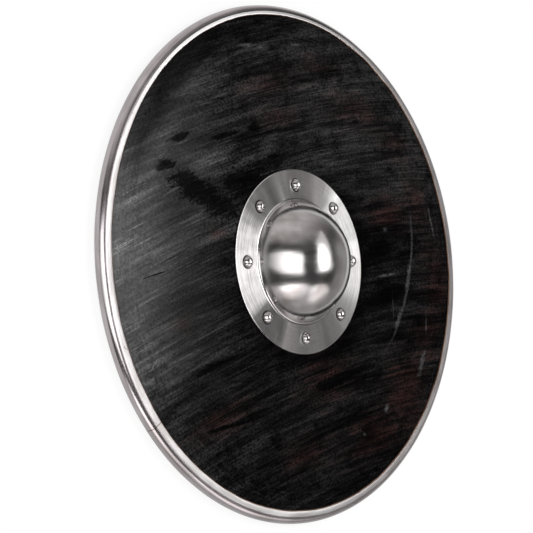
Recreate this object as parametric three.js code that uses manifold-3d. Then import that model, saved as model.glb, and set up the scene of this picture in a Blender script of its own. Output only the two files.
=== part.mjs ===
// Round wooden shield: a crowned board in a half-round steel rim, with a riveted steel boss.
// Millimetres. The shield lies on the back of its rim: +Z points out of the face, +Y towards
// the top rivet, and the origin is below the centre, on the surface that the rim lies on.

import * as THREE from "three";
import { mergeVertices } from "three/addons/utils/BufferGeometryUtils.js";
import Module from "manifold-3d";

const wasm = await Module();
wasm.setup();

// Driving dimensions
const SHIELD_RADIUS = 305;
const GAP = 0.3; // left between pieces that touch

const RIM_TUBE_RADIUS = 8.3; // outside of the half-round bead
const RIM_SHEET = 1.3;
const RIM_LIP_WIDTH = 5.7; // flat lips that grip the board, front and back

const BOARD_THICKNESS = 13.4;
const BOARD_CROWN = 3.8; // how much the middle stands above the edge
const BOARD_FLAT_RADIUS = 115; // flat seat under the boss
const BOARD_EDGE_REACH = 3.3; // how far the board goes into the bead
const BOARD_EDGE_CHAMFER = 1.9;
const HAND_HOLE_RADIUS = 65;

const BOSS_SHEET = 1.8;
const FLANGE_RADIUS = 109.4;
const DOME_BASE_RADIUS = 72.3;
const DOME_HEIGHT = 53.6; // above the flange
const DOME_FILLET = 4; // where the dome turns into the flange

const RIVET_COUNT = 8;
const RIVET_CIRCLE_RADIUS = 90.4;
const RIVET_HEAD_RADIUS = 7.3;
const RIVET_HEAD_HEIGHT = 6.2;
const RIVET_SHANK_RADIUS = 2.5;
const RIVET_TAIL_RADIUS = 4.6;
const RIVET_TAIL_HEIGHT = 1.6;

const GRIP_LENGTH = 240;
const GRIP_WIDTH = 30;
const GRIP_BACK_Z = 2.6;
const GRIP_END_THICKNESS = 10;
const GRIP_HAND_THICKNESS = 21.4;
const GRIP_HAND_LENGTH = 80; // full thickness, where the hand closes
const GRIP_SWELL_LENGTH = 116; // between the feet of the swelling
const GRIP_EDGE = 3;

const RING_SEGMENTS = 80;
const BOSS_SEGMENTS = 48;
const RIVET_SEGMENTS = 12;

// Worked out from them
const RIM_DEPTH = 2 * RIM_TUBE_RADIUS;
const RIM_TUBE_CENTRE = SHIELD_RADIUS - RIM_TUBE_RADIUS;
const RIM_LIP_RADIUS = RIM_TUBE_CENTRE - RIM_LIP_WIDTH;
const BOARD_BACK_Z = RIM_SHEET + GAP; // at the edge, inside the back lip
const BOARD_SEAT_Z = BOARD_BACK_Z + BOARD_CROWN; // back of the flat middle
const BOSS_Z = BOARD_SEAT_Z + BOARD_THICKNESS + GAP; // underside of the flange
const FLANGE_TOP_Z = BOSS_Z + BOSS_SHEET;

const STEEL = { color: 0x9a9c9e, roughness: 0.28, metalness: 1 };
const BOARD_WOOD = { color: 0x17120f, roughness: 0.5, metalness: 0 };
const GRIP_WOOD = { color: 0x3a2418, roughness: 0.6, metalness: 0 };

// Points along an arc in a section, from one angle to another in degrees.
function arc(centreR, centreZ, radius, fromDegrees, toDegrees, steps) {
  const points = [];
  for (let step = 0; step <= steps; step += 1) {
    const degrees = THREE.MathUtils.lerp(fromDegrees, toDegrees, step / steps);
    const angle = THREE.MathUtils.degToRad(degrees);
    const r = centreR + radius * Math.cos(angle);
    const z = centreZ + radius * Math.sin(angle);
    points.push(new THREE.Vector2(Math.abs(r) < 1e-9 ? 0 : r, z));
  }
  return points;
}

// A section in (r, z) turned about the Z axis.
function turned(section, segments) {
  const geometry = new THREE.LatheGeometry(section, segments);
  geometry.rotateX(Math.PI / 2);
  return geometry;
}

// A closed geometry as a manifold solid, without the empty triangles at a lathe's poles.
function solidOf(geometry) {
  const bare = geometry.clone();
  bare.deleteAttribute("normal");
  bare.deleteAttribute("uv");
  const merged = mergeVertices(bare);
  const corners = merged.index.array;
  const triangles = [];
  for (let i = 0; i < corners.length; i += 3) {
    const [a, b, c] = corners.slice(i, i + 3);
    if (a !== b && b !== c && c !== a) {
      triangles.push(a, b, c);
    }
  }
  const mesh = new wasm.Mesh({
    numProp: 3,
    vertProperties: merged.attributes.position.array,
    triVerts: new Uint32Array(triangles),
  });
  return new wasm.Manifold(mesh);
}

// A manifold solid back as a geometry.
function geometryOf(solid) {
  const mesh = solid.getMesh();
  const geometry = new THREE.BufferGeometry();
  geometry.setAttribute("position", new THREE.BufferAttribute(mesh.vertProperties, 3));
  geometry.setIndex(new THREE.BufferAttribute(mesh.triVerts, 1));
  const flat = geometry.toNonIndexed();
  flat.computeVertexNormals();
  return flat;
}

function meshOf(name, geometry, look) {
  const mesh = new THREE.Mesh(geometry, new THREE.MeshStandardMaterial(look));
  mesh.name = name;
  return mesh;
}

// Where rivet number i stands; number 0 is the top one, and they go round clockwise.
function rivetPlace(i) {
  const angle = Math.PI / 2 - (i * 2 * Math.PI) / RIVET_COUNT;
  return new THREE.Vector2(Math.cos(angle), Math.sin(angle)).multiplyScalar(RIVET_CIRCLE_RADIUS);
}

// A plain pin, a gap wider than a rivet's shank, that drills its hole through every piece.
function rivetDrill(i) {
  const radius = RIVET_SHANK_RADIUS + GAP;
  const pin = new THREE.CylinderGeometry(radius, radius, 100, RIVET_SEGMENTS);
  pin.rotateX(Math.PI / 2);
  const place = rivetPlace(i);
  pin.translate(place.x, place.y, 0);
  return solidOf(pin);
}

// Height of the board's faces above their edge: flat under the boss, then falling ever
// faster towards the rim.
function crownAt(r) {
  const way = (r - BOARD_FLAT_RADIUS) / (RIM_LIP_RADIUS - BOARD_FLAT_RADIUS);
  const fall = THREE.MathUtils.clamp(way, 0, 1) ** 2.2;
  return BOARD_CROWN * (1 - fall);
}

// Points along a crowned face, from one radius to another, at a height above its edge.
function crownedFace(fromRadius, toRadius, height, steps) {
  const points = [];
  for (let step = 0; step <= steps; step += 1) {
    const r = THREE.MathUtils.lerp(fromRadius, toRadius, step / steps);
    points.push(new THREE.Vector2(r, height + crownAt(r)));
  }
  return points;
}

// Rim: one strip of sheet steel rolled to a C, bent into a ring and closed round the board.
function makeRim() {
  const inside = RIM_TUBE_RADIUS - RIM_SHEET;
  const section = [
    new THREE.Vector2(RIM_LIP_RADIUS, 0),
    ...arc(RIM_TUBE_CENTRE, RIM_TUBE_RADIUS, RIM_TUBE_RADIUS, -90, 90, 6),
    new THREE.Vector2(RIM_LIP_RADIUS, RIM_DEPTH),
    new THREE.Vector2(RIM_LIP_RADIUS, RIM_DEPTH - RIM_SHEET),
    ...arc(RIM_TUBE_CENTRE, RIM_TUBE_RADIUS, inside, 90, -90, 4),
    new THREE.Vector2(RIM_LIP_RADIUS, RIM_SHEET),
    new THREE.Vector2(RIM_LIP_RADIUS, 0),
  ];
  return meshOf("rim", turned(section, RING_SEGMENTS), STEEL);
}

// Board: one crowned wooden disc, with the hand hole behind the boss, the holes for the
// rivets, and a housing cut across its back for the grip.
function makeBoard() {
  const edgeRadius = RIM_TUBE_CENTRE + BOARD_EDGE_REACH;
  const shoulder = RIM_TUBE_CENTRE - 0.7;
  const section = [
    new THREE.Vector2(HAND_HOLE_RADIUS, BOARD_CROWN),
    ...crownedFace(BOARD_FLAT_RADIUS, RIM_LIP_RADIUS, 0, 3),
    new THREE.Vector2(shoulder, 0),
    new THREE.Vector2(edgeRadius, BOARD_EDGE_CHAMFER),
    new THREE.Vector2(edgeRadius, BOARD_THICKNESS - BOARD_EDGE_CHAMFER),
    new THREE.Vector2(shoulder, BOARD_THICKNESS),
    ...crownedFace(RIM_LIP_RADIUS, BOARD_FLAT_RADIUS, BOARD_THICKNESS, 4),
    new THREE.Vector2(HAND_HOLE_RADIUS, BOARD_THICKNESS + BOARD_CROWN),
    new THREE.Vector2(HAND_HOLE_RADIUS, BOARD_CROWN),
  ];
  let solid = solidOf(turned(section, RING_SEGMENTS));

  const housingTop = GRIP_BACK_Z + GRIP_END_THICKNESS + GAP - BOARD_BACK_Z;
  const housing = new THREE.BoxGeometry(GRIP_WIDTH + 2 * GAP, GRIP_LENGTH + 2 * GAP, 2 * housingTop);
  solid = solid.subtract(solidOf(housing));
  for (let i = 0; i < RIVET_COUNT; i += 1) {
    solid = solid.subtract(rivetDrill(i));
  }

  const board = meshOf("board", geometryOf(solid), BOARD_WOOD);
  board.position.z = BOARD_BACK_Z;
  return board;
}

// Boss: sheet steel raised to a dome, with a flat flange that is drilled for the rivets.
// The sheet is modelled from its underside, at z = 0, to its top.
function makeBoss() {
  const domeRadius = (DOME_BASE_RADIUS ** 2 + DOME_HEIGHT ** 2) / (2 * DOME_HEIGHT);
  const domeCentreZ = BOSS_SHEET + DOME_HEIGHT - domeRadius;
  const filletZ = BOSS_SHEET + DOME_FILLET;
  const filletR = Math.sqrt((domeRadius + DOME_FILLET) ** 2 - (filletZ - domeCentreZ) ** 2);
  const tangent = THREE.MathUtils.radToDeg(Math.atan2(filletZ - domeCentreZ, filletR));
  const section = [
    ...arc(0, domeCentreZ, domeRadius - BOSS_SHEET, 90, tangent, 7),
    ...arc(filletR, filletZ, DOME_FILLET + BOSS_SHEET, 180 + tangent, 270, 2).slice(1),
    new THREE.Vector2(FLANGE_RADIUS, 0),
    new THREE.Vector2(FLANGE_RADIUS, BOSS_SHEET),
    ...arc(filletR, filletZ, DOME_FILLET, 270, 180 + tangent, 2),
    ...arc(0, domeCentreZ, domeRadius, tangent, 90, 9).slice(1),
  ];
  let solid = solidOf(turned(section, BOSS_SEGMENTS));
  for (let i = 0; i < RIVET_COUNT; i += 1) {
    solid = solid.subtract(rivetDrill(i));
  }
  const boss = meshOf("boss", geometryOf(solid), STEEL);
  boss.position.z = BOSS_Z;
  return boss;
}

// Rivet: a round head on the flange, at z = 0, a shank through the board, and a tail that is
// peened flat on the wood at the back.
function makeRivet(i) {
  const isThroughGrip = i % (RIVET_COUNT / 2) === 0;
  const woodBack = isThroughGrip ? GRIP_BACK_Z : BOARD_SEAT_Z;
  const tailTop = woodBack - GAP - FLANGE_TOP_Z;
  const headCurve = (RIVET_HEAD_RADIUS ** 2 + RIVET_HEAD_HEIGHT ** 2) / (2 * RIVET_HEAD_HEIGHT);
  const headCentreZ = GAP + RIVET_HEAD_HEIGHT - headCurve;
  const headFrom = THREE.MathUtils.radToDeg(Math.asin((GAP - headCentreZ) / headCurve));
  const section = [
    new THREE.Vector2(0, tailTop - RIVET_TAIL_HEIGHT),
    new THREE.Vector2(RIVET_TAIL_RADIUS * 0.7, tailTop - RIVET_TAIL_HEIGHT),
    new THREE.Vector2(RIVET_TAIL_RADIUS, tailTop - RIVET_TAIL_HEIGHT * 0.4),
    new THREE.Vector2(RIVET_TAIL_RADIUS, tailTop),
    new THREE.Vector2(RIVET_SHANK_RADIUS, tailTop),
    new THREE.Vector2(RIVET_SHANK_RADIUS, GAP),
    ...arc(0, headCentreZ, headCurve, headFrom, 90, 4),
  ];
  const rivet = meshOf(`rivet_${i + 1}`, turned(section, RIVET_SEGMENTS), STEEL);
  const place = rivetPlace(i);
  rivet.position.set(place.x, place.y, 0);
  return rivet;
}

// Grip: a wooden bar across the hand hole, let into the back of the board, swollen towards
// the dome where the hand closes on it, and drilled for the top and bottom rivets.
function makeGrip() {
  const endY = GRIP_LENGTH / 2;
  const footY = GRIP_SWELL_LENGTH / 2;
  const handY = GRIP_HAND_LENGTH / 2;
  const bendY = (footY + handY) / 2;
  const side = new THREE.Shape();
  side.moveTo(-endY, 0);
  side.lineTo(endY, 0);
  side.lineTo(endY, GRIP_END_THICKNESS);
  side.lineTo(footY, GRIP_END_THICKNESS);
  side.bezierCurveTo(bendY, GRIP_END_THICKNESS, bendY, GRIP_HAND_THICKNESS, handY, GRIP_HAND_THICKNESS);
  side.lineTo(-handY, GRIP_HAND_THICKNESS);
  side.bezierCurveTo(-bendY, GRIP_HAND_THICKNESS, -bendY, GRIP_END_THICKNESS, -footY, GRIP_END_THICKNESS);
  side.lineTo(-endY, GRIP_END_THICKNESS);
  side.closePath();

  const bar = new THREE.ExtrudeGeometry(side, {
    depth: GRIP_WIDTH - 2 * GRIP_EDGE,
    curveSegments: 6,
    bevelThickness: GRIP_EDGE,
    bevelSize: GRIP_EDGE,
    bevelOffset: -GRIP_EDGE,
    bevelSegments: 2,
  });
  // the outline lies in (y, z), and the bar's width runs along x
  bar.translate(0, 0, GRIP_EDGE - GRIP_WIDTH / 2);
  bar.rotateX(Math.PI / 2);
  bar.rotateZ(Math.PI / 2);

  let solid = solidOf(bar);
  for (let i = 0; i < RIVET_COUNT; i += RIVET_COUNT / 2) {
    solid = solid.subtract(rivetDrill(i));
  }
  const grip = meshOf("grip", geometryOf(solid), GRIP_WOOD);
  grip.position.z = GRIP_BACK_Z;
  return grip;
}

const rivets = new THREE.Group();
rivets.position.z = FLANGE_TOP_Z;
for (let i = 0; i < RIVET_COUNT; i += 1) {
  rivets.add(makeRivet(i));
}

const shield = new THREE.Group();
shield.add(makeBoard(), makeRim(), makeBoss(), rivets, makeGrip());

export default shield;
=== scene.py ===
"""A round wooden shield lying on its back: a crowned board stained black, a half-round
steel rim, a domed steel boss with eight rivets, and a grip bar behind the hand hole."""

import math

import bmesh
import bpy
from mathutils import Matrix, Vector, noise


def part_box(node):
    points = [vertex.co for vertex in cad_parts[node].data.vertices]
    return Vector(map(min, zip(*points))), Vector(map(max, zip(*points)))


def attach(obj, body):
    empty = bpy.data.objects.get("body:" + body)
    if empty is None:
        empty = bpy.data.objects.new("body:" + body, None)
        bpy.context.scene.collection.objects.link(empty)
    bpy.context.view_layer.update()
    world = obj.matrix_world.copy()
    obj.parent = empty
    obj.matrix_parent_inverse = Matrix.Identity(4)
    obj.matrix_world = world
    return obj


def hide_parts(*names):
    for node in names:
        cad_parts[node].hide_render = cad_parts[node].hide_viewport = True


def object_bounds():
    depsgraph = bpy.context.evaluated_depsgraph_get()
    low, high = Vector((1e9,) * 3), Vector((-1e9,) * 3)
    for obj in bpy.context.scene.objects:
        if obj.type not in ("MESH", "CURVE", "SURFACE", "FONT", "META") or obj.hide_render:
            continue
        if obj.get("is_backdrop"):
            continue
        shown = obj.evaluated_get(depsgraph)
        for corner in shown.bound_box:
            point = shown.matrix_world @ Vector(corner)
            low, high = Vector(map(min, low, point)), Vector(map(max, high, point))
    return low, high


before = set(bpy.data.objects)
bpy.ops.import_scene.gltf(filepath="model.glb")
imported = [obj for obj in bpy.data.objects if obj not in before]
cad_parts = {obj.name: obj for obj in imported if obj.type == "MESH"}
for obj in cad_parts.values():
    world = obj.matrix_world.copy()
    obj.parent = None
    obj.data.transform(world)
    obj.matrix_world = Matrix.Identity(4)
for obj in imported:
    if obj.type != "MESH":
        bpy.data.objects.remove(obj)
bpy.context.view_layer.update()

# ---------------------------------------------------------------------------------------
# The camera looks down on the lying shield from beyond its left edge, 43 degrees above
# the face, and is rolled so that the shield's +Y points up the picture.
# ---------------------------------------------------------------------------------------
SHOT_DISTANCE = 2.0
SHOT_LENS = 114.9
SHOT_ROLL = math.radians(6.5)
SHOT_SLANT = math.radians(46.85)
SHOT_HEADING = math.radians(-4.0)
SHOT_SHIFT_X = 0.0373
SHOT_SHIFT_Y = 0.0055

rim_low, rim_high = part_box("rim")
shot_turn = (
    Matrix.Rotation(SHOT_ROLL, 4, "Z")
    @ Matrix.Rotation(SHOT_SLANT, 4, "Y")
    @ Matrix.Rotation(SHOT_HEADING, 4, "Z")
)
shot_shift = Matrix.Translation((SHOT_SHIFT_X, SHOT_SHIFT_Y, -SHOT_DISTANCE))
face_to_origin = Matrix.Translation((0, 0, -rim_high.z))

camera = bpy.data.objects.new("camera", bpy.data.cameras.new("camera"))
camera.data.lens = SHOT_LENS
camera.matrix_world = (shot_shift @ shot_turn @ face_to_origin).inverted()
bpy.context.scene.collection.objects.link(camera)
bpy.context.scene.camera = camera

# ---------------------------------------------------------------------------------------
# The board: one wooden disc, turned with a slight crown, its edge eased to go into the
# rim. A black stain is brushed on in long slanting strokes, rubbed back to red-brown
# wood in places, and scuffed and scratched by use.
# ---------------------------------------------------------------------------------------
BOARD_CROWN = 0.0038
BOARD_FLAT_RADIUS = 0.115
BOARD_EDGE_CHAMFER = 0.0019
BOARD_EDGE_SHOULDER = 0.004
BOARD_STEPS = 240
CROWN_FALL = 2.2
CROWN_RINGS = 22
CROWN_RING_STEP = 0.008
HAND_HOLE_RADIUS = 0.065
LIP_RADIUS = 0.291

STAIN_BLACK = (0.0012, 0.0010, 0.0011, 1)
RUBBED_AND_SHEEN_GREY = (0.0080, 0.0077, 0.0080, 1)
WORN_BROWN = (0.0200, 0.0080, 0.0066, 1)
SCUFF_GREY = (0.075, 0.075, 0.078, 1)
STROKE_SLOPE = 0.22
STROKE_BEND = 0.35
STROKE_RELIEF = 0.0002
POLISHED_SHEEN_TONE = 0.66
BACK_SHARE = 0.35
SWING_MIDDLE = (-0.021, 0.055, 0)
SWING_RADIUS = 0.238
SWING_HALF_WIDTH = 0.0032
SWING_WANDER = 0.006

# Ragged marks on the face: centre x and y, half length and half width in metres, and turn
# in degrees. They are stain that stayed black, wood that is worn brown, and pale scuffs.
BLACK_PLACES = [
    (-0.202, 0.107, 0.024, 0.009, -4), (-0.172, 0.088, 0.038, 0.018, -16),
    (-0.132, 0.068, 0.044, 0.021, -14), (-0.080, 0.088, 0.050, 0.026, 12),
    (-0.205, 0.188, 0.034, 0.012, 50),
    (-0.062, 0.155, 0.012, 0.004, 10), (-0.031, 0.124, 0.014, 0.003, 8),
    (-0.120, 0.143, 0.034, 0.004, 14), (-0.180, 0.140, 0.026, 0.007, 20),
    (0.154, -0.045, 0.060, 0.014, 8), (0.145, 0.015, 0.044, 0.016, 10),
    (-0.228, -0.012, 0.017, 0.0008, 13), (-0.125, -0.182, 0.060, 0.003, 8),
    (0.060, -0.140, 0.070, 0.010, 14), (-0.150, -0.115, 0.060, 0.006, 16),
]
WORN_PLACES = [
    (-0.030, 0.210, 0.085, 0.028, 12), (-0.020, 0.172, 0.066, 0.022, 10),
    (0.120, 0.185, 0.090, 0.034, -8), (0.195, 0.150, 0.070, 0.038, -35),
    (0.232, 0.076, 0.054, 0.038, -60), (0.264, -0.022, 0.100, 0.044, -86),
    (0.235, -0.100, 0.060, 0.046, 60), (0.190, -0.165, 0.090, 0.060, 50),
    (0.120, -0.212, 0.085, 0.040, 20), (-0.150, -0.178, 0.080, 0.030, 14),
    (-0.194, -0.068, 0.026, 0.018, 0), (0.040, -0.140, 0.080, 0.036, 10),
    (-0.136, 0.035, 0.020, 0.012, 0), (0.170, 0.060, 0.060, 0.036, 0),
    (-0.010, -0.225, 0.060, 0.026, 8), (0.060, 0.235, 0.060, 0.018, -4),
]
SCUFF_PLACES = [
    (0.203, -0.020, 0.030, 0.0044, 72), (0.178, -0.072, 0.020, 0.0042, 60),
    (0.168, -0.058, 0.023, 0.0008, 89), (0.234, -0.080, 0.020, 0.0016, 84),
    (0.221, -0.128, 0.028, 0.0058, 66), (0.260, 0.048, 0.028, 0.0024, -78),
    (0.163, 0.039, 0.008, 0.0040, 0), (0.158, -0.018, 0.020, 0.0025, 5),
    (0.143, -0.182, 0.007, 0.0050, 40), (0.098, -0.210, 0.005, 0.0040, 0),
    (-0.062, 0.252, 0.016, 0.0040, 8), (-0.038, 0.250, 0.016, 0.0048, 8),
    (0.019, 0.260, 0.016, 0.0036, 0), (-0.240, -0.110, 0.012, 0.0008, 50),
]


def spun(profile, steps):
    """A closed section of (radius, height) points, turned once round the Z axis."""
    form = bmesh.new()
    points = [form.verts.new((radius, 0, height)) for radius, height in profile]
    edges = [form.edges.new(pair) for pair in zip(points, points[1:])]
    if profile[0][0] > 0:
        edges.append(form.edges.new((points[-1], points[0])))
    bmesh.ops.spin(
        form, geom=points + edges, axis=(0, 0, 1), cent=(0, 0, 0),
        angle=math.tau, steps=steps, use_merge=True,
    )
    bmesh.ops.remove_doubles(form, verts=form.verts, dist=1e-6)
    bmesh.ops.recalc_face_normals(form, faces=form.faces)
    return form


def finished(name, form, crease_degrees=35):
    """The piece's object, smooth but for its sharp corners, riding with the shield."""
    mesh = bpy.data.meshes.new(name)
    form.to_mesh(mesh)
    form.free()
    mesh.shade_smooth()
    mesh.set_sharp_from_angle(angle=math.radians(crease_degrees))
    piece = bpy.data.objects.new(name, mesh)
    bpy.context.scene.collection.objects.link(piece)
    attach(piece, "root")
    return piece


class Wire:
    """An output socket in a material's tree. Arithmetic on it adds Math nodes."""

    def __init__(self, tree, socket):
        self.tree = tree
        self.socket = socket

    def node(self, kind, settings=None, sockets=None, output=0):
        """Adds any node: its settings first, then the values or links of its sockets."""
        new = self.tree.nodes.new(kind)
        for name, value in (settings or {}).items():
            setattr(new, name, value)
        for name, value in (sockets or {}).items():
            if isinstance(value, Wire):
                self.tree.links.new(value.socket, new.inputs[name])
            else:
                new.inputs[name].default_value = value
        return Wire(self.tree, new.outputs[output])

    def maths(self, operation, first, second=0.0):
        return self.node("ShaderNodeMath", {"operation": operation}, {0: first, 1: second})

    def __add__(self, other):
        return self.maths("ADD", self, other)

    __radd__ = __add__

    def __sub__(self, other):
        return self.maths("SUBTRACT", self, other)

    def __rsub__(self, other):
        return self.maths("SUBTRACT", other, self)

    def __mul__(self, other):
        return self.maths("MULTIPLY", self, other)

    __rmul__ = __mul__

    def __truediv__(self, other):
        return self.maths("DIVIDE", self, other)

    def __pow__(self, other):
        return self.maths("POWER", self, other)

    def __abs__(self):
        return self.maths("ABSOLUTE", self)

    def highest(self, other):
        return self.maths("MAXIMUM", self, other)

    def lowest(self, other):
        return self.maths("MINIMUM", self, other)

    def between(self, low, high):
        """0 below low, 1 above high, and smooth between; low may be the larger."""
        ends = {"Value": self, "From Min": low, "From Max": high}
        return self.node("ShaderNodeMapRange", {"interpolation_type": "SMOOTHSTEP"}, ends)

    def axes(self):
        """The three parts of a vector."""
        parts = self.node("ShaderNodeSeparateXYZ", None, {0: self}).socket.node.outputs
        return [Wire(self.tree, part) for part in parts]

    def vector(self, x=0.0, y=0.0, z=0.0):
        return self.node("ShaderNodeCombineXYZ", None, {"X": x, "Y": y, "Z": z})

    def vectors(self, operation, second=None, scale=None, output=0):
        """Vector Math on this vector, with a second vector or a scale where it has one."""
        values = {0: self}
        if second is not None:
            values[1] = second
        if scale is not None:
            values["Scale"] = scale
        return self.node("ShaderNodeVectorMath", {"operation": operation}, values, output)

    def noise(self, scale=1.0, detail=2.0, roughness=0.5, distortion=0.0):
        values = {
            "Vector": self, "Scale": scale, "Detail": detail,
            "Roughness": roughness, "Distortion": distortion,
        }
        return self.node("ShaderNodeTexNoise", None, values)

    def mix(self, below, above):
        """A colour that goes from one to the other as this value goes from 0 to 1."""
        return self.node("ShaderNodeMix", {"data_type": "RGBA"}, {0: self, 6: below, 7: above}, 2)

    def relief(self, depth, strength):
        """A bump of this height, that many metres deep."""
        values = {"Height": self, "Distance": depth, "Strength": strength}
        return self.node("ShaderNodeBump", None, values)


def new_finish(name, **constants):
    """A material, its shader, and the piece's own place in metres. The constants are the
    shader's sockets, with _ for a space, that are the same all over the surface."""
    material = bpy.data.materials.new(name)
    material.use_nodes = True
    tree = material.node_tree
    shader = tree.nodes["Principled BSDF"]
    for socket, value in constants.items():
        shader.inputs[socket.replace("_", " ")].default_value = value
    place = Wire(tree, tree.nodes.new("ShaderNodeTexCoord").outputs["Object"])
    return material, shader, place


def feed(shader, **wires):
    """Links what varies over the surface to the shader's sockets."""
    for socket, wire in wires.items():
        wire.tree.links.new(wire.socket, shader.inputs[socket.replace("_", " ")])


board_low, board_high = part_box("board")
board_radius = board_high.x
board_back = board_low.z
board_thickness = board_high.z - board_low.z - BOARD_CROWN


def crown(radius):
    """Height of the board's faces over their edge: flat in the middle, then falling."""
    way = (radius - BOARD_FLAT_RADIUS) / (LIP_RADIUS - BOARD_FLAT_RADIUS)
    return BOARD_CROWN * (1 - min(max(way, 0), 1) ** CROWN_FALL)


def crowned_face(radii, height):
    return [(radius, board_back + height + crown(radius)) for radius in radii]


crown_rings = [BOARD_FLAT_RADIUS + CROWN_RING_STEP * i for i in range(CROWN_RINGS)]
face_radii = [HAND_HOLE_RADIUS, *crown_rings, LIP_RADIUS]
board_shoulder = board_radius - BOARD_EDGE_SHOULDER
board_profile = [
    *crowned_face(face_radii, 0),
    (board_shoulder, board_back),
    (board_radius, board_back + BOARD_EDGE_CHAMFER),
    (board_radius, board_back + board_thickness - BOARD_EDGE_CHAMFER),
    (board_shoulder, board_back + board_thickness),
    *crowned_face(reversed(face_radii), board_thickness),
]
board = finished("board_wood", spun(board_profile, BOARD_STEPS))
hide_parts("board")

# The stain is nearly black under a thin sheen. The sheen is only as strong as the stain is
# rubbed, so it shows the brush strokes. Where it is strong is also set by place below, as a
# painted sheen.
stain, shader, place = new_finish(
    "black_stain", Specular_IOR_Level=0.0, Coat_IOR=1.7, Coat_Roughness=0.28,
)
x, y, z = place.axes()
flat_place = place.vector(x, y)
r = flat_place.vectors("LENGTH", output=1)
spoke_x, spoke_y, _ = flat_place.vectors("NORMALIZE").axes()
stroke_y = y - x * STROKE_SLOPE + x * x * STROKE_BEND


def strokes(along, across, seed, detail=3):
    """Brush strokes that slant up to the right, so many to the metre along and across."""
    lines = place.vector(x * along, stroke_y * across, seed)
    return lines.noise(detail=detail, roughness=0.62, distortion=0.25)


def patches(places, rag, soft):
    """A mask of ragged marks on the face, from a list such as BLACK_PLACES."""
    edge = (ragged_edge - 0.5) * rag
    total = None
    for at_x, at_y, length, width, turn in places:
        local = flat_place.node("ShaderNodeMapping", {"vector_type": "TEXTURE"}, {
            "Vector": flat_place,
            "Location": (at_x, at_y, 0),
            "Rotation": (0, 0, math.radians(turn)),
            "Scale": (length, width, 1),
        })
        mask = (1 - local.vectors("LENGTH", output=1) + edge).between(0, soft)
        total = mask if total is None else total.highest(mask)
    return total


front = z.between(board_back + board_thickness * 0.4, board_back + board_thickness * 0.6)
broad = strokes(4, 26, 1.0)
medium = strokes(9, 130, 2.0, 4)
fine = strokes(22, 620, 3.0)
scratches = strokes(13, 820, 6.0, 2).between(0.63, 0.69)
ringed = place.vector(spoke_x * 5, spoke_y * 5, r * 340).noise(detail=3, roughness=0.65)
mottle = place.noise(scale=38, detail=5, roughness=0.7)
grit = place.noise(scale=330, detail=3, roughness=0.7)
clouds = place.vector(x * 5, stroke_y * 15, 4.0).noise(detail=6, roughness=0.62, distortion=0.8)
ragged_edge = medium * 0.55 + mottle * 0.3 + grit * 0.15

# The strokes follow the rim a little near the edge. They are broken by mottles, clouds and
# grit, and run together into an even painted sheen over the lower left.
near_rim = r.between(0.238, 0.272)
lines = medium * 0.45 + fine * 0.3 + broad * 0.25
lines = lines + (ringed - lines) * near_rim * 0.2
streak = lines.between(0.36, 0.66)
streak = streak * 0.95 + streak**3 * 2.1 + 0.08
polished_sheen = x.between(-0.08, -0.20) * y.between(-0.22, -0.06)
streak = streak * (mottle.between(0.24, 0.56) * (1 - polished_sheen * 0.5) + polished_sheen * 0.5)
streak = streak * (clouds.between(0.30, 0.62) * 1.45 + 0.24)
streak = streak + (POLISHED_SHEEN_TONE - streak) * polished_sheen * 0.62
streak = streak * (1 - grit.between(0.46, 0.60) * (0.75 - polished_sheen * 0.4))

# The stain stays black in the blotches and along the upper left edge. Beside the flange, on
# its right and lower side, the board is darkened as painted shade.
blotches = patches(BLACK_PLACES, rag=5.0, soft=0.5)
at_upper_left = (spoke_x * -0.57 + spoke_y * 0.82).between(0.66, 0.93)
dark_edge = r.between(0.240, 0.272) * at_upper_left
shade_by_flange = r.between(0.140, 0.110) * (x + y * -0.6).between(-0.09, 0.03)
black_and_shaded = blotches.highest(dark_edge * 0.9).highest(shade_by_flange * 0.85) * front

# The rubbed strokes carry a painted sheen, laid on by place: strongest at the left edge, then
# over the upper half, a little at the right and lower edges, and hardly on the back.
streak = streak + scratches * (grit.between(0.62, 0.42) + 0.2) * 1.3
upper_half = y.between(0.02, 0.17) * (1 - x.between(-0.02, -0.22) * 0.3)
left_half = x.between(-0.03, -0.20) * y.between(-0.19, -0.02)
left_edge = x.between(-0.185, -0.275) * y.between(-0.25, 0.07)
right_edge = x.between(0.15, 0.26)
lower_edge = y.between(-0.18, -0.26)
sheen_level = 0.12 + upper_half * 0.35 + left_half * 0.13 + left_edge * 0.56
sheen_level = sheen_level + right_edge * 0.08 + lower_edge * 0.06
rubbed_and_sheen = streak * sheen_level * (1 - black_and_shaded * 0.88) * (front * (1 - BACK_SHARE) + BACK_SHARE)

# One long curved scuff was left by something that swung past, and the rest are knocks.
swing = flat_place.vectors("DISTANCE", SWING_MIDDLE, output=1) + (mottle - 0.5) * SWING_WANDER
swung = abs(swing - SWING_RADIUS).between(SWING_HALF_WIDTH, 0.0)
swung = swung * y.between(-0.124, -0.05) * y.between(0.080, 0.0) * x.between(0.1, 0.12)
specks = place.noise(scale=700, detail=1).between(0.72, 0.76)
scuffed = patches(SCUFF_PLACES, rag=3.5, soft=1.0).highest(swung * 0.8).highest(specks * 0.5)
scuffed = scuffed * front
worn = patches(WORN_PLACES, rag=4.5, soft=1.9) * front

# Rubbed stain and the painted sheen turn the colour grey and strengthen the coat.
colour = (rubbed_and_sheen * 4).mix(STAIN_BLACK, RUBBED_AND_SHEEN_GREY)
colour = (worn * (streak + 0.25) * (1 - blotches)).mix(colour, WORN_BROWN)
colour = (scuffed * grit.between(0.7, 0.35)).mix(colour, SCUFF_GREY)
feed(
    shader,
    Base_Color=colour,
    Coat_Weight=rubbed_and_sheen * (1 - worn * 0.4) + scuffed * 0.15,
    Normal=(medium + fine * 0.5 + grit * 0.2).relief(STROKE_RELIEF, 0.5),
)
board.data.materials.append(stain)

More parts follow.
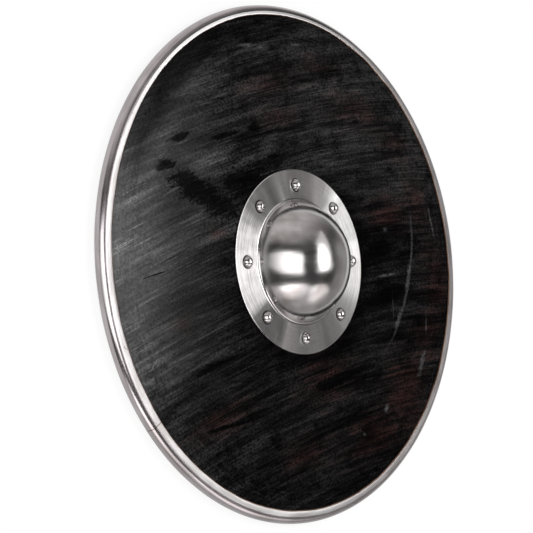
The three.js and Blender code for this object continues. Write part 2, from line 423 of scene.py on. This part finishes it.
# ---------------------------------------------------------------------------------------
# The rim: one strip of sheet steel rolled to a C, bent into a ring and hammered down over
# the board's edge, then polished. Its ends meet at the lower left, its front lip wavers in
# width, and the lip's cut edge is a little rusty.
# ---------------------------------------------------------------------------------------
RIM_SHEET = 0.0013
RIM_STEPS = 720
BEAD_STEPS = 16
LIP_RISE = 0.0003
LIP_EDGE = 0.0005
LIP_BAND = 0.0016
LIP_FLAT = 0.003
LIP_WAVE = 0.001
LIP_WIDE_AT = math.radians(95)
CUT_WIDTH = 0.001
CUT_DROP = 0.00015
DINT_DEPTH = 0.00022
DINTS_PER_METRE = 22
LIP_RAG = 0.0006
LIP_FRAY = 0.0003
JOINT_DEGREES = 216
PAINTED_SHADE_DEGREES = 105
LIP_FINISH = 1
CUT_FINISH = 2

BEAD_LIGHT = (0.500, 0.462, 0.474, 1)
BEAD_DARK = (0.410, 0.378, 0.378, 1)
BEAD_SHADE = (0.10, 0.095, 0.095, 1)
LIP_LIGHT = (0.72, 0.70, 0.70, 1)
LIP_DARK = (0.52, 0.50, 0.49, 1)
LIP_PAINTED_HIGHLIGHT = (0.80, 0.78, 0.78, 1)
RUSTY_STEEL = (0.24, 0.16, 0.12, 1)
RUST = (0.09, 0.045, 0.028, 1)

bead_radius = (rim_high.z - rim_low.z) / 2 - LIP_RISE / 2
bead_centre = rim_high.x - bead_radius
lip_top = rim_high.z
lip_low = lip_top - LIP_BAND


def arc(centre_r, centre_z, radius, start, stop, steps):
    """Points of a section along an arc, from one angle to another in degrees."""
    angles = [math.radians(start + (stop - start) * i / steps) for i in range(steps + 1)]
    return [(centre_r + radius * math.cos(a), centre_z + radius * math.sin(a)) for a in angles]


def plan_way(degrees):
    """The direction on the face, so many degrees from +X towards +Y."""
    return math.cos(math.radians(degrees)), math.sin(math.radians(degrees))


rim_profile = [
    (LIP_RADIUS + LIP_EDGE, 0),
    *arc(bead_centre, bead_radius, bead_radius, -90, 90, BEAD_STEPS),
    (LIP_RADIUS + LIP_FLAT, lip_top),
    (LIP_RADIUS + CUT_WIDTH, lip_top),
    (LIP_RADIUS + CUT_WIDTH * 0.45, lip_top - CUT_DROP),
    (LIP_RADIUS, lip_top - LIP_EDGE),
    (LIP_RADIUS, lip_top - RIM_SHEET),
    *arc(bead_centre, bead_radius, bead_radius - RIM_SHEET, 90, -90, BEAD_STEPS // 2),
    (LIP_RADIUS, RIM_SHEET),
    (LIP_RADIUS, LIP_EDGE),
]
form = spun(rim_profile, RIM_STEPS)

# The front lip and its cut edge have finishes of their own, chosen while the ring is true.
for face in form.faces:
    middle = face.calc_center_median()
    if middle.z > lip_low and face.normal.z > -0.5:
        if middle.xy.length < LIP_RADIUS + CUT_WIDTH:
            face.material_index = CUT_FINISH
        elif middle.xy.length < bead_centre:
            face.material_index = LIP_FINISH

# Bending and hammering left the ring a little wavy, and its lip wider at the top.
for vert in form.verts:
    around = math.atan2(vert.co.y, vert.co.x)
    outward = Vector((math.cos(around), math.sin(around), 0))
    reach = vert.co.xy.length
    dint = noise.noise(vert.co * DINTS_PER_METRE) * DINT_DEPTH
    on_lip = min(max((bead_centre - reach) / (bead_centre - LIP_RADIUS), 0), 1)
    turned = around - LIP_WIDE_AT
    ragged = LIP_WAVE * (math.cos(turned) * 1.5 + math.cos(turned * 2) * 0.7 - 0.7)
    ragged += noise.noise(outward * 9) * LIP_RAG + noise.noise(outward * 30) * LIP_FRAY
    if reach < bead_centre + bead_radius * 0.9:
        vert.co += outward * (dint + on_lip * ragged)
rim = finished("rim_steel", form)
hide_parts("rim")


def rim_finish(name, roughness, light, dark, painted_tone, **constants):
    """Worked steel in two tones, rust specks and the joint, and over the upper part of the ring a
    painted tone next to the lip: painted shade on the bead, a painted highlight on the lip.
    The rim takes its finishes in the order that its faces are numbered for."""
    finish, shader, place = new_finish(name, Metallic=1.0, **constants)
    x, y, z = place.axes()
    r = place.vector(x, y).vectors("LENGTH", output=1)
    drawn = place.vector(x * 3, y * 3, r * 1500 + z * 1500).noise(detail=3)
    worked = place.vector(x * 24, y * 24, r * 160 + z * 160).noise(detail=3)
    specks = place.noise(scale=60, detail=4, roughness=0.7).between(0.66, 0.72)
    painted_way_x, painted_way_y = plan_way(PAINTED_SHADE_DEGREES)
    painted_top_band = (r + (worked - 0.5) * 0.001).between(bead_centre + 0.004, bead_centre + 0.0006)
    painted_top_band = painted_top_band * (x * painted_way_x + y * painted_way_y).between(0.18, 0.28)
    joint_x, joint_y = plan_way(JOINT_DEGREES)
    joint = abs(x * -joint_y + y * joint_x).between(0.0007, 0.0002)
    joint = joint * (x * joint_x + y * joint_y).between(0.1, 0.2)
    # Over the upper part of the ring this tone is painted shade on the bead and a painted
    # highlight on the lip.
    steel = painted_top_band.mix(worked.between(0.34, 0.62).mix(dark, light), painted_tone)
    feed(
        shader,
        Base_Color=(specks * 0.6).highest(joint * 0.85).mix(steel, RUST),
        Roughness=roughness + worked * 0.1 + z.between(lip_low, lip_top) * 0.18,
        Normal=drawn.relief(0.00002, 0.6),
    )
    rim.data.materials.append(finish)


rim_finish("polished_bead", 0.15, BEAD_LIGHT, BEAD_DARK, BEAD_SHADE)
rim_finish("filed_lip", 0.30, LIP_LIGHT, LIP_DARK, LIP_PAINTED_HIGHLIGHT, Anisotropic=0.8)
rim_finish("rusty_cut", 0.45, RUSTY_STEEL, RUST, RUST)

# ---------------------------------------------------------------------------------------
# The boss: one disc of sheet steel raised by hammer into a dome with a flat flange, then
# planished. The flange is brushed in circles, and the dome is rubbed to a satin polish.
# ---------------------------------------------------------------------------------------
BOSS_SHEET = 0.0018
BOSS_STEPS = 256
DOME_BASE_RADIUS = 0.0723
DOME_FILLET = 0.004
DOME_TOP_DEGREES = 88
BROAD_DENT = 0.00045
SMALL_DENT = 0.00012
FLANGE_BURR = 0.0003
FLANGE_CHAMFER = 0.0008
FLANGE_EASE = 0.001
FLANGE_RINGS = 8
FLANGE_RING_STEP = 0.004
FLANGE_FIRST_RING = 0.002
FLANGE_FINISH = 1
RIVET_COUNT = 8

SATIN_LIGHT = (0.460, 0.440, 0.440, 1)
SATIN_DARK = (0.40, 0.385, 0.38, 1)
FLANGE_LIGHT = (0.92, 0.90, 0.90, 1)
FLANGE_DARK = (0.70, 0.68, 0.675, 1)
FLANGE_SHADED_LIGHT = (0.60, 0.58, 0.575, 1)
FLANGE_SHADED_DARK = (0.30, 0.29, 0.29, 1)
FLANGE_SHADE = (0.10, 0.095, 0.095, 1)
RIVET_RING_SHADE = (0.035, 0.032, 0.030, 1)

# Dark fans painted on the flange as shade in its reflection: where they face and their half
# width, in degrees, and how dark they are.
PAINTED_DARK_FANS = ((129, 22, 0.78), (230, 19, 0.80), (310, 30, 0.66))

boss_low, boss_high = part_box("boss")
flange_radius = boss_high.x
flange_top = boss_low.z + BOSS_SHEET
dome_height = boss_high.z - flange_top
dome_radius = (DOME_BASE_RADIUS**2 + dome_height**2) / (2 * dome_height)
dome_centre = boss_high.z - dome_radius
fillet_z = flange_top + DOME_FILLET
fillet_r = math.sqrt((dome_radius + DOME_FILLET) ** 2 - (fillet_z - dome_centre) ** 2)
tangent = math.degrees(math.atan2(fillet_z - dome_centre, fillet_r))
outer_ring = flange_radius - FLANGE_FIRST_RING
flange_rings = [outer_ring - FLANGE_RING_STEP * i for i in range(FLANGE_RINGS)]
boss_profile = [
    (0, boss_high.z - BOSS_SHEET),
    *arc(0, dome_centre, dome_radius - BOSS_SHEET, DOME_TOP_DEGREES, tangent, 24),
    *arc(fillet_r, fillet_z, DOME_FILLET + BOSS_SHEET, 180 + tangent, 270, 6)[1:],
    (flange_radius - FLANGE_BURR, boss_low.z),
    (flange_radius, boss_low.z + FLANGE_BURR),
    (flange_radius, flange_top - FLANGE_CHAMFER),
    (flange_radius - FLANGE_BURR, flange_top - FLANGE_BURR),
    (flange_radius - FLANGE_EASE, flange_top),
    *((ring, flange_top) for ring in flange_rings),
    *arc(fillet_r, fillet_z, DOME_FILLET, 270, 180 + tangent, 8),
    *arc(0, dome_centre, dome_radius, tangent, DOME_TOP_DEGREES, 48)[1:],
    (0, boss_high.z),
]
form = spun(boss_profile, BOSS_STEPS)
for vert in form.verts:
    if vert.co.z > fillet_z:
        dent = noise.noise(vert.co * 30) * BROAD_DENT + noise.noise(vert.co * 70) * SMALL_DENT
        vert.co += vert.normal * dent
        vert.co.z = min(vert.co.z, boss_high.z)
boss = finished("boss_steel", form)
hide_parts("boss")

# The dome is rubbed one way with fine grit, slantwise over the hammered form.
satin, shader, place = new_finish("satin_steel", Metallic=1.0)
rub = place.node("ShaderNodeMapping", None, {
    "Vector": place, "Rotation": (0, 0, math.radians(-35)), "Scale": (40, 420, 40),
}).noise(detail=3)
cloud = place.noise(scale=30, detail=3)
dull = place.noise(scale=70, detail=4, roughness=0.65)
feed(
    shader,
    Base_Color=cloud.mix(SATIN_DARK, SATIN_LIGHT),
    Roughness=0.18 + (dull - 0.5) * 0.1 + (rub - 0.5) * 0.1,
    Normal=(rub * 0.5 + cloud).relief(0.00016, 0.5),
)
boss.data.materials.append(satin)

# The flange's brush marks run round it. They tilt the surface a little, outwards across the
# marks and sideways where the brushing changes.
brushed, shader, place = new_finish(
    "brushed_steel", Metallic=1.0, Anisotropic=1.0, Anisotropic_Rotation=0.25,
)
x, y, z = place.axes()
flat_place = place.vector(x, y)
r = flat_place.vectors("LENGTH", output=1)
spoke = flat_place.vectors("NORMALIZE")
spoke_x, spoke_y, _ = spoke.axes()
streaks = place.vector(r * 900, spoke_x * 3, spoke_y * 3).noise(detail=3, roughness=0.65)
fans = place.vector(spoke_x * 5, spoke_y * 5, r * 14).noise(detail=4, roughness=0.55)
drift = place.noise(scale=35, detail=3)
level_face = place.node("ShaderNodeNewGeometry", output="Normal")
around = place.vector(spoke_y * -1, spoke_x)
tilt = spoke.vectors("SCALE", scale=(streaks - 0.5) * 0.08 + (drift - 0.5) * 0.1)
tilt = tilt.vectors("ADD", around.vectors("SCALE", scale=(fans - 0.5) * 0.18))

# The brush could not reach close round the rivets, where the steel is duller. A thin dark
# ring is painted round each rivet head as shade.
to_rivet = None
for number in range(1, RIVET_COUNT + 1):
    low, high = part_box(f"rivet_{number}")
    middle = (low + high) / 2
    gap = flat_place.vectors("DISTANCE", (middle.x, middle.y, 0), output=1)
    to_rivet = gap if to_rivet is None else to_rivet.lowest(gap)
rivet_ring_shade = (to_rivet + (drift - 0.5) * 0.003).between(0.0083, 0.0076)
unbrushed = (to_rivet + (drift - 0.5) * 0.01).between(0.0118, 0.0092) * drift.between(0.45, 0.55)

steel = (streaks * 0.45 + fans * 0.55).between(0.34, 0.66).mix(FLANGE_DARK, FLANGE_LIGHT)
# On its left and right sides the flange takes a darker copy of its steel, as painted shade.
shaded_tone = (streaks * 0.7 + fans * 0.3).between(0.36, 0.64)
shaded_steel = shaded_tone.mix(FLANGE_SHADED_DARK, FLANGE_SHADED_LIGHT)
side_shade = spoke_x.between(-0.5, -0.9) + spoke_x.between(0.5, 0.95) * 0.7
steel = side_shade.mix(steel, shaded_steel)
# Each fan darkens the steel's colour as painted shade.
for degrees, half_width, depth in PAINTED_DARK_FANS:
    facing = spoke.vectors("DOT_PRODUCT", (*plan_way(degrees), 0), output=1)
    facing = facing + (fans - 0.5) * 0.06
    fan_edge = math.cos(math.radians(half_width))
    fan_heart = math.cos(math.radians(half_width * 0.5))
    steel = (facing.between(fan_edge, fan_heart) * depth).mix(steel, FLANGE_SHADE)
feed(
    shader,
    Base_Color=rivet_ring_shade.mix(steel, RIVET_RING_SHADE),
    Roughness=0.33 + (streaks - 0.5) * 0.12 + (drift - 0.5) * 0.06 + unbrushed * 0.12,
    Normal=tilt.vectors("ADD", level_face).vectors("NORMALIZE"),
)
boss.data.materials.append(brushed)
for face in boss.data.polygons:
    if fillet_r + 0.0002 < face.center.xy.length < flange_radius - 0.0009:
        face.material_index = FLANGE_FINISH

# ---------------------------------------------------------------------------------------
# The rivets: eight round-headed steel rivets through flange and board, each a little
# different from the hammer, peened flat on the wood at the back.
# ---------------------------------------------------------------------------------------
RIVET_SHANK_RADIUS = 0.0025
RIVET_TAIL_RADIUS = 0.0046
RIVET_TAIL_HEIGHT = 0.0016
RIVET_TAIL_ROUNDING = 0.0008
RIVET_LIFT = 0.0003
RIVET_STEPS = 48
HEAD_TOP_DEGREES = 88
HEAD_SKIRT = 0.0005
HAMMER_DEPTH = 0.00035
HAMMER_MARKS = 260
HEAD_STEEL = (0.460, 0.440, 0.440, 1)
HEAD_LOW_SHADE = (0.10, 0.095, 0.095, 1)

shiny, shader, place = new_finish("rivet_polish", Metallic=1.0)
dents = place.noise(scale=420, detail=2)
grime = place.noise(scale=160, detail=3)
x, y, z = place.axes()
# Low on each head, next to the flange, the steel is darkened as painted shade, broken up by
# noise.
shaded_low_on_head = z.between(flange_top + 0.0022, flange_top + 0.0006)
feed(
    shader,
    Base_Color=(shaded_low_on_head * grime.between(0.2, 0.5)).mix(HEAD_STEEL, HEAD_LOW_SHADE),
    Roughness=0.08 + grime * 0.12,
    Normal=dents.relief(0.0003, 0.5),
)

for number in range(1, RIVET_COUNT + 1):
    node_name = f"rivet_{number}"
    low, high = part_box(node_name)
    middle = (low + high) / 2
    head_radius = (high.x - low.x) / 2
    head_low = flange_top + RIVET_LIFT
    head_height = high.z - head_low
    curve = (head_radius**2 + head_height**2) / (2 * head_height)
    head_centre = high.z - curve
    from_angle = math.degrees(math.asin((head_low - head_centre) / curve))
    tail_top = low.z + RIVET_TAIL_HEIGHT
    tail_r = RIVET_TAIL_RADIUS - RIVET_TAIL_ROUNDING
    rivet_profile = [
        (0, low.z),
        *arc(tail_r, low.z + RIVET_TAIL_ROUNDING, RIVET_TAIL_ROUNDING, -90, 0, 4),
        (RIVET_TAIL_RADIUS, tail_top),
        (RIVET_SHANK_RADIUS, tail_top),
        (RIVET_SHANK_RADIUS, head_low),
        *arc(0, head_centre, curve, from_angle, HEAD_TOP_DEGREES, 12),
        (0, high.z),
    ]
    form = spun(rivet_profile, RIVET_STEPS)
    for vert in form.verts:
        mark_x, mark_y = vert.co.xy * HAMMER_MARKS
        mark = noise.noise(Vector((mark_x, mark_y, number * 7.3))) + 0.6
        if vert.co.z > head_low + HEAD_SKIRT:
            vert.co.z -= mark * HAMMER_DEPTH * (vert.co.z - head_low) / head_height
    bmesh.ops.translate(form, verts=form.verts, vec=(middle.x, middle.y, 0))
    rivet = finished(f"{node_name}_steel", form)
    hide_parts(node_name)
    rivet.data.materials.append(shiny)

# ---------------------------------------------------------------------------------------
# The grip: one bar of hardwood let into the back of the board, swollen where the hand
# closes on it, its edges rounded with a spokeshave, and dark from handling.
# ---------------------------------------------------------------------------------------
GRIP_END_THICKNESS = 0.010
GRIP_HAND_LENGTH = 0.080
GRIP_SWELL_LENGTH = 0.116
GRIP_ROUNDING = 0.0035
SWELL_STEPS = 12

WOOD_BROWN = (0.060, 0.026, 0.013, 1)
WOOD_TAN = (0.115, 0.058, 0.030, 1)
WOOD_BAND = (0.045, 0.020, 0.011, 1)
HAND_DARK = (0.028, 0.014, 0.009, 1)

grip_low, grip_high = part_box("grip")
grip_depth = grip_high.z - grip_low.z
end_y = grip_high.y
foot_y = GRIP_SWELL_LENGTH / 2
hand_y = GRIP_HAND_LENGTH / 2
swell = []
for i in range(SWELL_STEPS + 1):
    way = i / SWELL_STEPS
    rise = way * way * (3 - 2 * way)
    swell.append((
        foot_y + (hand_y - foot_y) * way,
        GRIP_END_THICKNESS + (grip_depth - GRIP_END_THICKNESS) * rise,
    ))
half_side = [(end_y, 0), (end_y, GRIP_END_THICKNESS), *swell]
side = half_side + [(-along, height) for along, height in reversed(half_side)]
form = bmesh.new()
corners = [form.verts.new((grip_low.x, along, grip_low.z + height)) for along, height in side]
cheek = form.faces.new(corners)
bar = bmesh.ops.extrude_face_region(form, geom=[cheek])["geom"]
bmesh.ops.translate(
    form, verts=[item for item in bar if isinstance(item, bmesh.types.BMVert)],
    vec=(grip_high.x - grip_low.x, 0, 0),
)
bmesh.ops.recalc_face_normals(form, faces=form.faces)
cheeks = [face for face in form.faces if abs(face.normal.x) > 0.9]
long_edges = {edge for face in cheeks for edge in face.edges}
bmesh.ops.bevel(
    form, geom=list(long_edges), offset=GRIP_ROUNDING, affect="EDGES", segments=4,
    profile=0.5, material=-1, clamp_overlap=True,
)
grip = finished("grip_wood", form, 50)
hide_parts("grip")

handled, shader, place = new_finish("handled_wood", IOR=1.45)
x, y, z = place.axes()
grain = place.vector(x * 420, y * 14, z * 420).noise(detail=4, roughness=0.6, distortion=0.3)
bands = place.vector(x * 90, y * 4, z * 90).noise(detail=2)
grime = place.noise(scale=30, detail=4)
handling = abs(y).between(0.062, 0.035) * grime.between(0.3, 0.6)
wood = grain.between(0.3, 0.75).mix(WOOD_BROWN, WOOD_TAN)
wood = (bands.between(0.35, 0.7) * 0.5).mix(wood, WOOD_BAND)
feed(
    shader,
    Base_Color=(handling * 0.6).mix(wood, HAND_DARK),
    Roughness=0.62 - handling * 0.2 + (grain - 0.5) * 0.1,
    Normal=grain.relief(0.00025, 0.6),
)
grip.data.materials.append(handled)

# ---------------------------------------------------------------------------------------
# The studio: a pale floor, one broad soft box behind the camera, and one tall box to the
# right that grazes the face. The room round them is dim, and lighter above and below.
# ---------------------------------------------------------------------------------------
FLOOR_SIZE = 14.0
FLOOR_DROP = 0.0002
FLOOR_TONE = 0.84
FLOOR_GREY = (0.16, 0.16, 0.16, 1)
ROOM_BASE = 0.05
BLACK = (0, 0, 0, 1)
WHITE = (1, 1, 1, 1)
WARM_WHITE = (1.0, 0.925, 0.905, 1)

# Brighter places low in the room: degrees right of and above the line to the camera, how
# far each one spreads in degrees, and its strength.
GLINTS = ((13, -45, 24, 1.7), (80, -42, 22, 1.0))

studio_turn = camera.matrix_world.to_3x3()
studio_middle = Vector((0, 0, dome_centre))


def studio_way(right, up):
    """The direction so many degrees right of and above the line to the camera."""
    right = math.radians(right)
    up = math.radians(up)
    return Vector((math.sin(right) * math.cos(up), math.sin(up), math.cos(right) * math.cos(up)))


def soft_box(name, corners, distance, faint, bright, heart, spread):
    """A glowing sheet with its corners in those directions, unseen by the camera. It is
    bright at its heart and falls off over that spread, sideways and upwards, in degrees."""
    form = bmesh.new()
    places = [studio_middle + studio_turn @ studio_way(*corner) * distance for corner in corners]
    form.faces.new([form.verts.new(corner) for corner in places])
    box = bpy.data.objects.new(name, bpy.data.meshes.new(name))
    form.to_mesh(box.data)
    form.free()
    bpy.context.scene.collection.objects.link(box)
    glow, shader, place = new_finish(name, Base_Color=BLACK, Emission_Strength=bright)
    straight = studio_turn @ studio_way(*heart)
    sideways = studio_turn @ studio_way(heart[0] + 90, 0)
    upwards = straight.cross(sideways)
    way = place.vectors("SUBTRACT", studio_middle).vectors("NORMALIZE")
    off = [
        way.vectors("DOT_PRODUCT", axis, output=1) / math.radians(reach)
        for axis, reach in zip((sideways, upwards), spread)
    ]
    fall = place.vector(*off).vectors("LENGTH", output=1).between(1.0, 0.45)
    share = faint / bright
    feed(shader, Emission_Color=fall.mix((share, share, share, 1), WHITE))
    box.data.materials.append(glow)
    box.visible_camera = False
    box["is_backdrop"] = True


soft_box(
    "box_behind_camera", [(-34, -10), (28, -20), (27, 17), (-32, 15)],
    distance=2.6, faint=0.7, bright=2.9, heart=(20, 0), spread=(46, 90),
)
soft_box(
    "box_on_the_right", [(50, -15), (87, -7), (90, 44), (58, 32)],
    distance=1.7, faint=1.1, bright=5.5, heart=(67, 6), spread=(17, 26),
)

form = bmesh.new()
bmesh.ops.create_grid(form, x_segments=1, y_segments=1, size=FLOOR_SIZE / 2)
bmesh.ops.translate(form, verts=form.verts, vec=(0, 0, -FLOOR_DROP))
floor = bpy.data.objects.new("floor", bpy.data.meshes.new("floor"))
form.to_mesh(floor.data)
form.free()
bpy.context.scene.collection.objects.link(floor)
floor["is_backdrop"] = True

# The floor glows evenly where it is seen. What the steel and the board get from it is a
# little stronger on the right and weaker low down. From underneath it is clear.
paper, shader, place = new_finish(
    "white_paper", Base_Color=FLOOR_GREY, Roughness=0.9, Specular_IOR_Level=0.0,
    Emission_Strength=1.0,
)
x, y, z = place.axes()
lit_floor = 0.68 + x.between(0.0, 0.5) * 0.25 - y.between(-0.1, -0.4) * 0.3
seen_floor = place.node("ShaderNodeLightPath", output="Is Camera Ray")
glow = seen_floor * (FLOOR_TONE - lit_floor) + lit_floor
feed(shader, Emission_Color=glow.mix(BLACK, WHITE))
under = place.node("ShaderNodeNewGeometry", output="Backfacing")
clear = place.node("ShaderNodeBsdfTransparent")
top_side = Wire(place.tree, shader.outputs[0])
both_sides = place.node("ShaderNodeMixShader", None, {0: under, 1: top_side, 2: clear})
surface = paper.node_tree.nodes["Material Output"].inputs["Surface"]
place.tree.links.new(both_sides.socket, surface)
floor.data.materials.append(paper)

# The room, in the studio's own directions: what each part of it adds to the light.
world = bpy.data.worlds.new("room")
world.use_nodes = True
bpy.context.scene.world = world
tree = world.node_tree
way = Wire(tree, tree.nodes.new("ShaderNodeTexCoord").outputs["Generated"])
turned_way = way.node("ShaderNodeMapping", None, {
    "Vector": way, "Rotation": studio_turn.inverted().to_euler(),
})
right, up, towards = turned_way.axes()
ceiling = up.between(0.42, 0.87) * (0.76 - right.between(0.1, 0.7) * 0.26)
left_wall = right.between(-0.5, -0.68) * 0.55
far_ledge = towards.between(-0.02, -0.3) * up.between(0.55, 0.25) * 0.3
far_wall = towards.between(-0.45, -0.9) * 0.3
light = ROOM_BASE + ceiling + left_wall + far_ledge + far_wall
low_part = (up - right.between(0.6, 0.95) * 0.12).between(-0.59, -0.63)
low_part = low_part * towards.between(-0.4, 0.1)
low_tone = 0.7 - up.between(-0.8, -1.0) * 0.25 + up.between(-0.86, -0.62) * 0.35
light = light + low_part * low_tone
for degrees_right, degrees_up, reach, strength in GLINTS:
    glint_way = studio_way(degrees_right, degrees_up)
    glint = turned_way.vectors("DOT_PRODUCT", glint_way, output=1)
    glint = glint.between(math.cos(math.radians(reach)), 1.0)
    light = light + glint * low_part * strength
smoke = way.noise(scale=2.4, detail=3, roughness=0.6)
light = light * (smoke.between(0.3, 0.7) * 0.8 + 0.6)

# Where it is seen, the room is plain white.
seen_room = way.node("ShaderNodeLightPath", output="Is Camera Ray")
tint = (smoke.between(0.35, 0.65) + seen_room).mix(WARM_WHITE, WHITE)
backdrop = tree.nodes["Background"]
tree.links.new(tint.socket, backdrop.inputs["Color"])
tree.links.new((seen_room * (1 - light) + light).socket, backdrop.inputs["Strength"])
bpy.context.scene.view_settings.view_transform = "Standard"

low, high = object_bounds()
